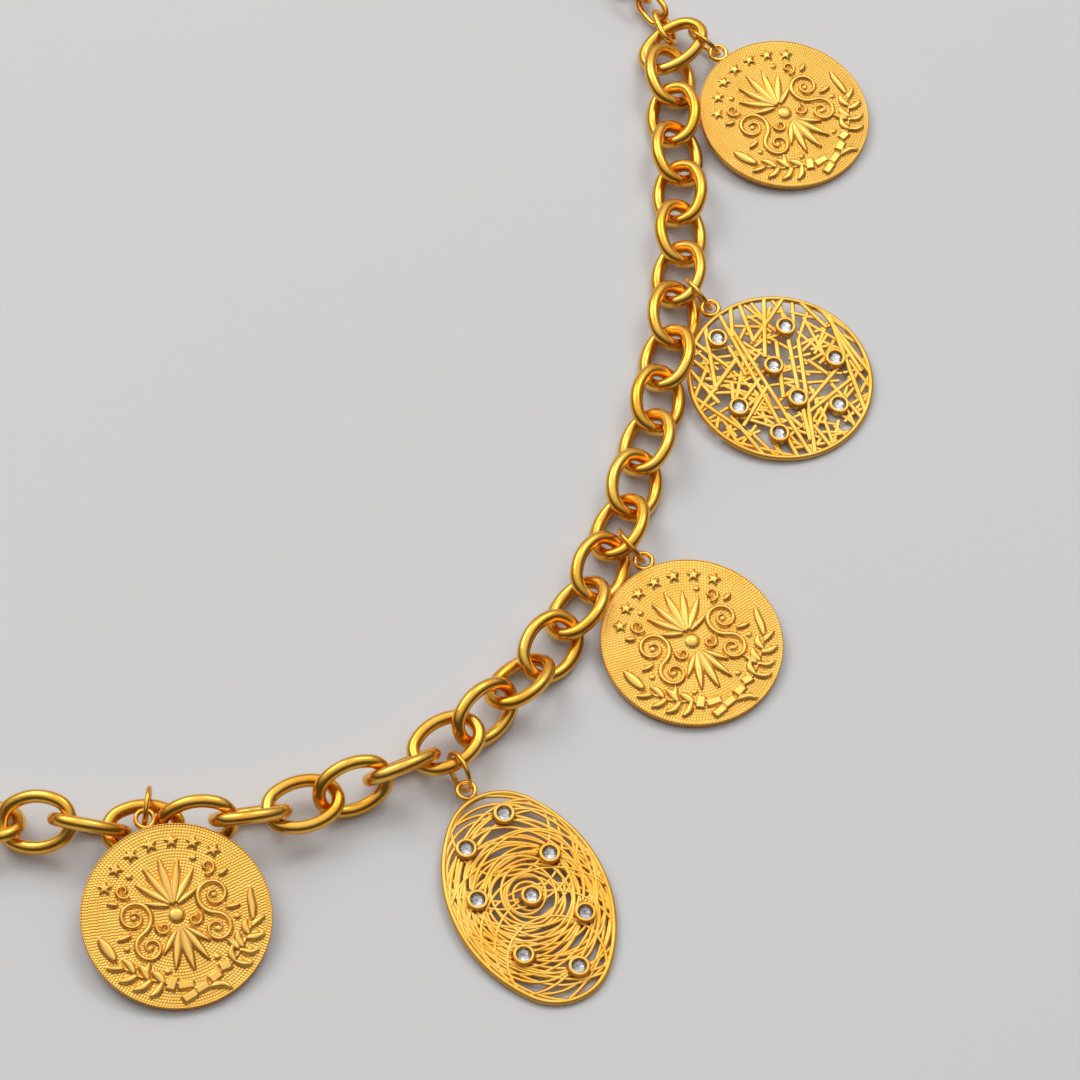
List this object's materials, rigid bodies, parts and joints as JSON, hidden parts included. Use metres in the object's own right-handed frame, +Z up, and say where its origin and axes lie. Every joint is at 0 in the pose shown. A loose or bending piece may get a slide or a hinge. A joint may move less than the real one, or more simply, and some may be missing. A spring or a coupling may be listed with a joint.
{
  "type": "charm necklace",
  "caption": "Gold necklace of oval cable links with coin and pierced medallion charms, closed by a light chain and a plain clasp.",
  "frame": {"origin": "middle of the neck opening, on the plane that the necklace lies on", "axes": "+Z up from that plane, +Y towards the clasp, +X towards the side that carries the charms"},
  "size_m": [0.1745, 0.1684, 0.0071],
  "materials": {
    "gold": "polished gold plate",
    "coin_gold": "satin gold plate",
    "stone": "clear cut stone"
  },
  "bodies": {
    "root": {"clasp": "gold", "coin_back": "coin_gold", "coin_back_ring": "gold", "coin_front": "coin_gold", "coin_front_ring": "gold", "coin_middle": "coin_gold", "coin_middle_ring": "gold", "heavy_chain_left": "gold", "light_chain_left": "gold", "light_chain_right": "gold", "link_00": "gold", "link_01": "gold", "link_02": "gold", "link_03": "gold", "link_04": "gold", "link_05": "gold", "link_06": "gold", "link_07": "gold", "link_08": "gold", "link_09": "gold", "link_10": "gold", "link_11": "gold", "link_12": "gold", "link_13": "gold", "link_14": "gold", "link_15": "gold", "link_16": "gold", "link_17": "gold", "link_18": "gold", "link_19": "gold", "link_20": "gold", "link_21": "gold", "link_22": "gold", "link_23": "gold", "link_24": "gold", "link_25": "gold", "link_26": "gold", "link_27": "gold", "medallion_oval": "gold", "medallion_oval_ring": "gold", "medallion_oval_stone_1": "stone", "medallion_oval_stone_2": "stone", "medallion_oval_stone_3": "stone", "medallion_oval_stone_4": "stone", "medallion_oval_stone_5": "stone", "medallion_oval_stone_6": "stone", "medallion_oval_stone_7": "stone", "medallion_oval_stone_8": "stone", "medallion_round": "gold", "medallion_round_ring": "gold", "medallion_round_stone_1": "stone", "medallion_round_stone_2": "stone", "medallion_round_stone_3": "stone", "medallion_round_stone_4": "stone", "medallion_round_stone_5": "stone", "medallion_round_stone_6": "stone", "medallion_round_stone_7": "stone", "medallion_round_stone_8": "stone"}
  },
  "joints": []
}
